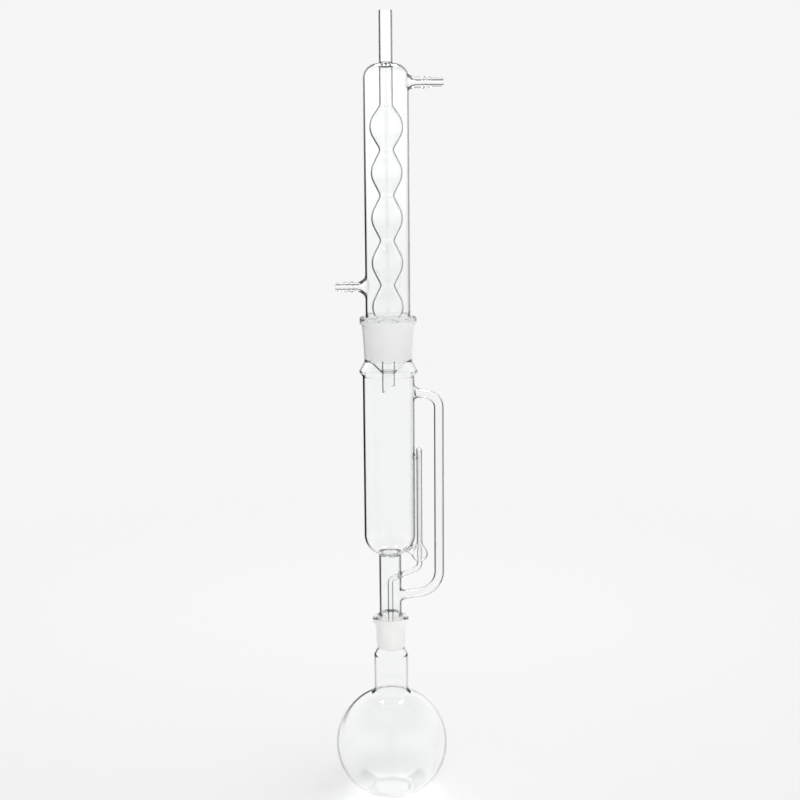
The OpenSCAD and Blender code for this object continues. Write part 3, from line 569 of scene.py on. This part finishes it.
def neck(skin, port, own):
    """Short neck between two mouths: cubic curves that leave one wall and arrive at the other."""
    centre = port["rings"][-1].mean(0)
    along = unit(own["rings"][-1].mean(0) - centre)
    across = unit(np.cross(along, [0, 0, 1]))
    up = np.cross(along, across)
    port, angles = turned_to(port, None, centre, across, up)
    own, _ = turned_to(own, angles, centre, across, up)
    leave, arrive = unit(port["inward"] + along), unit(along - own["inward"])
    middle = blend(port["rings"][-1], leave, arrive, own["rings"][-1], 0.35, 6)
    numbers = skin.place(np.vstack([port["rings"], middle, own["rings"][::-1]]))
    skin.weave(np.vstack([port["loop"], numbers, own["loop"]]))


def bridge(skin):
    """Small rod that stays the riser to the chamber, sunk in both walls: circles along a straight
    line, thicker by the fourth power of the distance from its middle, with pointed ends."""
    level = SIPHON_TOP - SIPHON_Y
    a = TO_CHAMBER * -(CHAMBER_R - 0.8) + [0, 0, level + 2.2]
    b = TO_CHAMBER * -(SIPHON_REACH - SIPHON_R + 0.6) + [0, 0, level - 0.6]
    t = np.linspace(0, 1, 9)[1:-1, None]
    thick = BRIDGE_R + 0.9 * (2 * t[:, 0] - 1) ** 4
    near = 0.02 * (b - a)
    spine = np.vstack([a, a + near, a + (b - a) * t, b - near, b])
    sew(tube(skin, spine, np.r_[0, thick[0] + 0.3, thick, thick[-1] + 0.3, 0], [0, 0, 1], sides=24))


def make_extractor():
    """Extractor: the turned body, with the vapour tube, the siphon and the bridge sewn to mouths
    in its walls or sunk in them."""
    skin = Skin()
    body = Wall(skin, body_profile())
    vapour_tube(skin, body)
    siphon(skin, body)
    body.finish()
    bridge(skin)
    return skin.mesh("glass_extractor")


def slanted(p):
    """Points near the condenser's tip lifted in step with x and with their nearness to the tip."""
    low = np.clip((TIP_Z + TIP_LEN - p[..., 2]) / TIP_LEN, 0, 1)
    lift = TIP_SLANT * (p[..., 0] + TIP_R) / (2 * TIP_R) * low
    return p + np.stack([0 * lift, 0 * lift, lift], -1)


def shell_profile():
    """Condenser's outer skin: from the vent's rim down over jacket and cone to the tip, and back
    up inside through the bulbs. Closer rows take the two nozzles."""
    shoulder, turn_z = JACKET_R - SHOULDER_ROUND, JACKET_Z - SHOULDER_ROUND
    bore, vent_bore = INNER_R - INNER_WALL, INNER_R - VENT_WALL
    return guarded(line([
        ([INNER_R - 0.02, VENT_Z], MELT), ([INNER_R, JACKET_Z], BEND),
        [shoulder, JACKET_Z], arc(shoulder, turn_z, SHOULDER_ROUND, 90, SHOULDER_SPLIT, 13),
        arc(shoulder, turn_z, SHOULDER_ROUND, SHOULDER_SPLIT, 0, SPLIT_ROWS),
        wall_rows(JACKET_R, turn_z, HIGH_FOOT[0], NOZZLE_ROWS - SPLIT_ROWS),
        wall_rows(JACKET_R, *LOW_SPAN[0][::-1], NOZZLE_ROWS),
        ([JACKET_R, TOP_RIM + JACKET_STEP], BEND), ([TOP_R - JOINT_GAP, TOP_RIM], 0.5),
        ([top_joint(TOP_END) - JOINT_GAP, TOP_END], 4),
        ([TIP_R + TIP_FILLET, SEAL_Z], TIGHT), ([TIP_R, SEAL_Z - TIP_FILLET], TIGHT),
        [TIP_R, TIP_Z + TIP_LEN], ([TIP_R, TIP_Z], MELT), ([bore, TIP_Z], MELT), [bore, TIP_Z + TIP_LEN],
        bulbs(INNER_WALL)[::-1], ([bore, JACKET_Z - 6], 5), ([vent_bore, JACKET_Z], 5),
        ([vent_bore, VENT_Z], MELT)]), closed=True)


def water_profile():
    """Skin of the condenser's water space: round the inner tube's foot, up inside the jacket and
    back down over the bulbs."""
    shoulder, turn_z = JACKET_R - SHOULDER_ROUND, JACKET_Z - SHOULDER_ROUND
    inner_turn = SHOULDER_ROUND - JACKET_WALL
    return guarded(line([
        ([INNER_R, SEAL_Z + CONE_WALL], 0.9), ([TIP_R + TIP_FILLET, SEAL_Z + CONE_WALL], TIGHT),
        ([top_joint(TOP_END) - CONE_WALL, TOP_END + 1], SOFT),
        ([JACKET_R - CONE_WALL, TOP_RIM - JACKET_STEP], SOFT), ([JACKET_IN, TOP_RIM + 2 * JACKET_STEP], SOFT),
        wall_rows(JACKET_IN, *LOW_SPAN[1], NOZZLE_ROWS),
        wall_rows(JACKET_IN, HIGH_FOOT[1], turn_z, NOZZLE_ROWS - SPLIT_ROWS),
        arc(shoulder, turn_z, inner_turn, 0, SHOULDER_SPLIT, SPLIT_ROWS),
        arc(shoulder, turn_z, inner_turn, SHOULDER_SPLIT, 90, 12),
        ([INNER_R, JACKET_Z - JACKET_WALL], 0.9), bulbs(0)]), closed=True)


def nozzle(skin, shell, water, plan):
    """A nozzle's skin, which runs out along it over its ridges, over the tip and back down its
    bore: rings about a level axis, c + r (cos a y + sin a z), between a mouth in the shell and
    one in the water space. A ridge is a flank, a crest and a flank."""
    ridges = []
    for k, (x, r) in enumerate(plan["ridges"]):
        before = NOZZLE_R if k else plan["neck_r"]
        ridges += [([before, x - RIDGE_FOOT], CREST), ([r, x - CREST], CREST), ([r, x + CREST], CREST),
                   ([NOZZLE_R, x + RIDGE_FOOT], CREST)]
    run = guarded(line([[plan["neck_r"], FLARE_END]] + ridges + [
        ([NOZZLE_R - 0.15, plan["tip"]], 0.8), ([NOZZLE_BORE, plan["tip"]], 0.5),
        [NOZZLE_BORE, FUNNEL_END]], 12))
    out, columns = plan["out"], plan["columns"]
    centres = np.stack([out * run[:, 1], 0 * run[:, 1], plan["z"] + 0 * run[:, 1]], 1)
    middle = 0 if out > 0 else COLUMNS // 2
    root = np.array(plan["root"])
    outside = weld(shell, shell.row(*plan["shell_row"]), NOZZLE_ROWS, plan["heights"][0], middle, columns,
                   root, JACKET_R)
    back = weld(water, water.row(*plan["water_row"]), NOZZLE_ROWS, plan["heights"][1], middle, columns,
                root - JACKET_WALL, JACKET_IN)
    across, up = np.array([0, 1.0, 0]), np.array([0, 0, 1.0])
    outside, angles = turned_to(outside, None, centres[0], across, up)
    back, last = turned_to(back, angles, centres[-1], across, up)
    a = angles + (last - angles) * np.linspace(0, 1, len(centres))[:, None]
    rings = centres[:, None] + run[:, :1, None] * (np.cos(a)[..., None] * across + np.sin(a)[..., None] * up)
    along = np.array([out, 0, 0.0])
    numbers = skin.place(np.vstack([
        outside["rings"], blend(outside["rings"][-1], outside["inward"], along, rings[0], 0.33, 12),
        rings, blend(rings[-1], -along, -back["inward"], back["rings"][-1], 0.33, 12), back["rings"][::-1]]))
    skin.weave(np.vstack([outside["loop"], numbers, back["loop"]]))


def make_condenser():
    """Condenser: its outer skin and the skin of its water space, joined by each nozzle's."""
    skin = Skin()
    shell = Wall(skin, shell_profile(), closed=True, shear=slanted)
    water = Wall(skin, water_profile(), closed=True)
    for plan in (HIGH_NOZZLE, LOW_NOZZLE):
        nozzle(skin, shell, water, plan)
    shell.finish()
    water.finish()
    return skin.mesh("glass_condenser")


class Wire:
    """A node's output that adds its own Math node when an operator meets it."""

    def __init__(self, finish, socket):
        self.finish, self.socket = finish, socket

    def meet(self, operation, a, b=0.0):
        """The output of a Math node fed with one or two numbers."""
        return self.finish.add("ShaderNodeMath", {"operation": operation}, {0: a, 1: b})

    def __add__(self, other):
        return self.meet("ADD", self, other)

    def __sub__(self, other):
        return self.meet("SUBTRACT", self, other)

    def __rsub__(self, other):
        return self.meet("SUBTRACT", other, self)

    def __mul__(self, other):
        return self.meet("MULTIPLY", self, other)

    def __pow__(self, other):
        return self.meet("POWER", self, other)

    def __gt__(self, other):
        return self.meet("GREATER_THAN", self, other)

    def __lt__(self, other):
        return self.meet("LESS_THAN", self, other)

    def __or__(self, other):
        return self.meet("MAXIMUM", self, other)

    def __abs__(self):
        return self.meet("ABSOLUTE", self)

    __radd__, __rmul__ = __add__, __mul__


class Finish:
    """A node tree for a material or the world, built node by node."""

    def __init__(self, owner):
        owner.use_nodes = True
        self.owner, self.tree = owner, owner.node_tree
        self.tree.nodes.clear()

    def add(self, kind, settings=(), sockets=(), output=0):
        """A node of a kind: its settings first, then the values or links of its sockets."""
        node = self.tree.nodes.new(kind)
        for key, value in dict(settings).items():
            setattr(node, key, value)
        for key, value in dict(sockets).items():
            if isinstance(value, Wire):
                self.tree.links.new(value.socket, node.inputs[key])
            else:
                node.inputs[key].default_value = value
        return Wire(self, node.outputs[output]) if node.outputs else node

    def split(self, vector):
        """A vector's three parts."""
        return [self.add("ShaderNodeSeparateXYZ", sockets={0: vector}, output=k) for k in range(3)]

    def mix(self, share, first, second):
        """Two shaders, with a share of the second."""
        return self.add("ShaderNodeMixShader", sockets={0: share, 1: first, 2: second})

    def path(self, name):
        """One of the light path's outputs."""
        return self.add("ShaderNodeLightPath", output=name)

    def ramp(self, value, low, high):
        """0 to 1 in a smooth step as a value goes from low to high."""
        smooth = {"interpolation_type": "SMOOTHSTEP"}
        return self.add("ShaderNodeMapRange", smooth, {0: value, 1: low, 2: high})

    def unlit(self, look):
        """0.95 where the studio is dark to a reflection in clear glass: to the left and behind, in
        a direction or at a place."""
        side, deep, _ = self.split(self.add("ShaderNodeVectorMath", {"operation": "NORMALIZE"}, {0: look}))
        gap = self.ramp(side, -0.04, -0.14) * self.ramp(side, -0.8, -0.6) * self.ramp(deep, 0.1, 0.4)
        return gap * (self.path("Glossy Depth") > 0.5) * (self.path("Diffuse Depth") < 0.5) * 0.95


# Heights in metres where the looks change: just under the flask's neck, inside its socket, the
# top of the vapour tube's lower weld, and just under the jacket
NECK_FOOT, SOCKET_FOOT, WELD_TOP, JACKET_FOOT = 0.09, 0.148, 0.2, 0.44
# Ground joints: rim height, end height, radius at the rim, clear length under the rim
LOW_CONE, TOP_CONE = (LOW_RIM, LOW_END, LOW_R, 2.2), (TOP_RIM, TOP_END, TOP_R, 3.4)
CLEAR_IOR = 1.473


def ground_faces(joints, radius, z):
    """1 within 0.3 mm of each ground cone, whose radius falls with the taper below its rim."""
    mask = 0.0
    for rim, end, r, bare in joints:
        near = abs(radius - (r * 0.001 - TAPER * (rim * 0.001 - z))) < 0.0003
        mask = mask + near * (z < (rim - bare) * 0.001) * (z > end * 0.001 + 0.0006)
    return mask


def painted_dark_lines(f, x, y, z):
    """Share of clear glass painted dark: painted shade in place of the dark studio that the wall mirrors past
    the critical angle. It is painted a little darker on the left, as if lit from the right, and lighter in
    the flask, in the sockets' beads and where a wall slants below the jacket. Past the critical angle it is
    painted fully dark at the corners of the flask's neck. The neck's root, the nozzles and the outside of the
    vapour tube get painted dark edges where they are seen edge on."""
    across, _, upright = f.split(f.add("ShaderNodeTexCoord", output="Normal"))
    slant = f.ramp(abs(upright), 0.25, 0.7)
    corners = slant * f.ramp(abs(across), 0.3, 0.6) * (z > NECK_FOOT) * (z < SOCKET_FOOT)
    share = (0.9 - across * 0.1) * (1 - slant * (1 - f.ramp(z, JACKET_FOOT, JACKET_FOOT + 0.02)) * 0.75)
    share = share * (0.45 + f.ramp(z, 0.12, 0.15) * 0.55)
    for rim, _, _, bare in (LOW_CONE, TOP_CONE):
        share = share * (1 - (z > (rim - bare) * 0.001) * (z < (rim + 1) * 0.001) * 0.7)
    past = f.add("ShaderNodeFresnel", sockets={"IOR": CLEAR_IOR}) > 0.995
    facing = f.add("ShaderNodeLayerWeight", output="Facing")
    root = f.ramp(z, 0.0945, 0.096) * f.ramp(z, 0.1025, 0.0995) * (y < 0.002)
    root = root * f.ramp(facing, 0.5, 0.65) * f.ramp(abs(across), 0.45, 0.6)
    nozzles = (abs(x) > 0.0215) * (z > JACKET_FOOT)
    vapour = (x > 0.044) * (z > WELD_TOP) * (z < JACKET_FOOT)
    dark = past * (share | corners) | root + f.ramp(facing, 0.45, 0.8) * (nozzles + vapour) * 0.5
    return dark * (f.path("Diffuse Depth") < 0.5)


def frosted(f, place, z):
    """Frosted glass with a fine grain, half matt and half milky, and painted greyer in the upper joint, which
    is painted shade.
    """
    grain = f.add("ShaderNodeTexNoise", sockets={"Vector": place, "Scale": 1400.0, "Detail": 3.0})
    bump = f.add("ShaderNodeBump", sockets={"Strength": 0.2, "Distance": 0.0002, "Height": grain})
    # Painted shade: the frost's colour darkens from the top of the vapour tube's lower weld up, fully by 0.35
    # m
    pale = 0.94 - f.ramp(z, WELD_TOP, 0.35) * 0.16
    colour = f.add("ShaderNodeCombineColor", sockets={0: pale, 1: pale - 0.01, 2: pale - 0.01})
    matt = f.add("ShaderNodeBsdfPrincipled", sockets={"Base Color": colour, "Roughness": 0.6, "Normal": bump})
    milky = f.add("ShaderNodeBsdfTranslucent", sockets={"Color": (0.98, 0.98, 0.97, 1), "Normal": bump})
    return f.mix(0.5, matt, milky)


def glass(name, joints):
    """Clear glass with painted dark lines, which are painted shade, thinned to the eye in the foot, and
    frosted on the ground faces. Lamps shine through all of it."""
    f = Finish(bpy.data.materials.new(name))
    place = f.add("ShaderNodeTexCoord", output="Object")
    x, y, z = f.split(place)
    clear = f.add("ShaderNodeBsdfPrincipled", sockets={
        "Base Color": (0.985, 0.993, 0.99, 1), "Roughness": 0.0, "IOR": CLEAR_IOR, "Transmission Weight": 1.0,
        "Alpha": 1 - f.ramp(z, 0.012, 0.007) * 0.5})
    # Painted shade: a near-black gloss mixed into the clear glass along the painted dark lines
    painted_shade_gloss = f.add("ShaderNodeBsdfAnisotropic", sockets={"Color": (0.06, 0.065, 0.06, 1), "Roughness": 0.0})
    wall = f.mix(painted_dark_lines(f, x, y, z), clear, painted_shade_gloss)
    ground = ground_faces(joints, (x * x + y * y) ** 0.5, z)
    body = f.mix(ground, wall, frosted(f, place, z))
    through = f.add("ShaderNodeBsdfTransparent", sockets={0: (0.97, 0.975, 0.975, 1)})
    f.add("ShaderNodeOutputMaterial", sockets={"Surface": f.mix(f.path("Is Shadow Ray"), body, through)})
    return f.owner


for maker, node, joints in ((make_flask, "flask", [LOW_CONE]),
                            (make_extractor, "extractor", [LOW_CONE, TOP_CONE]),
                            (make_condenser, "condenser", [TOP_CONE])):
    piece = maker()
    piece.data.materials.append(glass(node + "_glass", joints))
    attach(piece, "root")
    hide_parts(node)

# Floor: a disc in metres, pale and lit near the object, with its shadow. Further out it fades into
# the backdrop, and clear glass mirrors it black where the studio is dark.
BACKDROP = 0.92
FLOOR_R, FLOOR_SIDES = 8, 96
disc = bpy.data.meshes.new("floor")
a = np.arange(FLOOR_SIDES) / FLOOR_SIDES * 2 * math.pi
edge = np.stack([FLOOR_R * np.cos(a), FLOOR_R * np.sin(a), 0 * a], 1)
disc.from_pydata(edge.tolist(), [], [list(range(FLOOR_SIDES))])
floor = bpy.data.objects.new("floor", disc)
bpy.context.scene.collection.objects.link(floor)
pale = Finish(bpy.data.materials.new("pale_floor"))
spot = pale.add("ShaderNodeTexCoord", output="Object")
distance = pale.add("ShaderNodeVectorMath", {"operation": "LENGTH"}, {0: spot}, output=1)
matt = pale.add("ShaderNodeBsdfDiffuse", sockets={"Color": (0.78, 0.78, 0.777, 1)})
glow = pale.add("ShaderNodeEmission", sockets={"Color": (1, 1, 1, 1), "Strength": BACKDROP})
black = pale.add("ShaderNodeBsdfDiffuse", sockets={"Color": (0, 0, 0, 1)})
cover = pale.mix(pale.ramp(distance, 0.35, 1.3), matt, glow)
gap = pale.unlit(spot) * pale.ramp(distance, 0.4, 0.65)
pale.add("ShaderNodeOutputMaterial", sockets={"Surface": pale.mix(gap, cover, black)})
disc.materials.append(pale.owner)

# Room: a bright tent, dimmer overhead, and above the horizon a little brighter than the backdrop
# when it is seen through clear glass. A strip in front is dark to light that has passed many walls,
# as in the bulbs. Matt and frosted surfaces are lit from all round, and more from the right.
room = Finish(bpy.data.worlds.new("room"))
look = room.add("ShaderNodeTexCoord", output="Generated")
side, deep, height = room.split(look)
above = room.ramp(height, 0.3, 0.8) * 0.5
front = room.ramp(abs(side), 0.3, 0.1) * (deep < -0.5) * (room.path("Transmission Depth") > 5.5)
strip = room.unlit(look) * room.ramp(height, 0.15, -0.05)
tent = (BACKDROP + room.ramp(height, -0.07, 0.04) * 0.16) * (1 - strip) * (1 - above) * (1 - front)
seen, bent = room.path("Is Camera Ray"), room.path("Is Transmission Ray")
spread = room.path("Diffuse Depth") > 0.5
clear = (1 - spread) * (bent | (room.path("Glossy Depth") > 0.5))
lit = 0.94 + side * 0.7 + bent * spread * 0.3
strength = seen * BACKDROP + clear * tent + (1 - seen - clear) * lit
sky = room.add("ShaderNodeBackground", sockets={0: (1, 1, 1, 1), 1: strength})
room.add("ShaderNodeOutputWorld", sockets={"Surface": sky})
bpy.context.scene.world = room.owner


# Lamps: width, power and the height on the axis that they face
LAMP_SIZE, LAMP_POWER, LAMP_AIM = 0.3, 4.5, 0.2


def softbox(name, place):
    """A square lamp at a place in metres. It leans from straight down by the angle whose tangent
    is its distance from the axis over its height above its aim, and turns toward the axis."""
    lamp = bpy.data.lights.new(name, "AREA")
    lamp.size, lamp.energy = LAMP_SIZE, LAMP_POWER
    box = bpy.data.objects.new(name, lamp)
    x, y, z = place
    box.location = place
    lean = math.atan2(math.hypot(x, y), z - LAMP_AIM)
    box.rotation_euler = (lean, 0, math.atan2(x, -y))
    bpy.context.scene.collection.objects.link(box)


softbox("back_left", (-0.35, 0.8, 1.7))
softbox("back_right", (0.35, 0.8, 1.7))

# Camera: tilted down from level and rolled a little, in degrees
TILT, ROLL = 9.5, -0.44
camera = bpy.data.objects.new("camera", bpy.data.cameras.new("camera"))
camera.data.lens, camera.data.sensor_width = 58.5, 36.0
camera.location = (0.0100, -1.144, 0.561)
tilted = Matrix.Rotation(math.radians(90 - TILT), 3, "X") @ Matrix.Rotation(math.radians(ROLL), 3, "Z")
camera.rotation_euler = tilted.to_euler()
bpy.context.scene.collection.objects.link(camera)
scene = bpy.context.scene
scene.camera = camera
scene.view_settings.view_transform = "Standard"
scene.cycles.max_bounces = 36
scene.cycles.transmission_bounces = 36
scene.cycles.glossy_bounces = 12
scene.cycles.transparent_max_bounces = 36
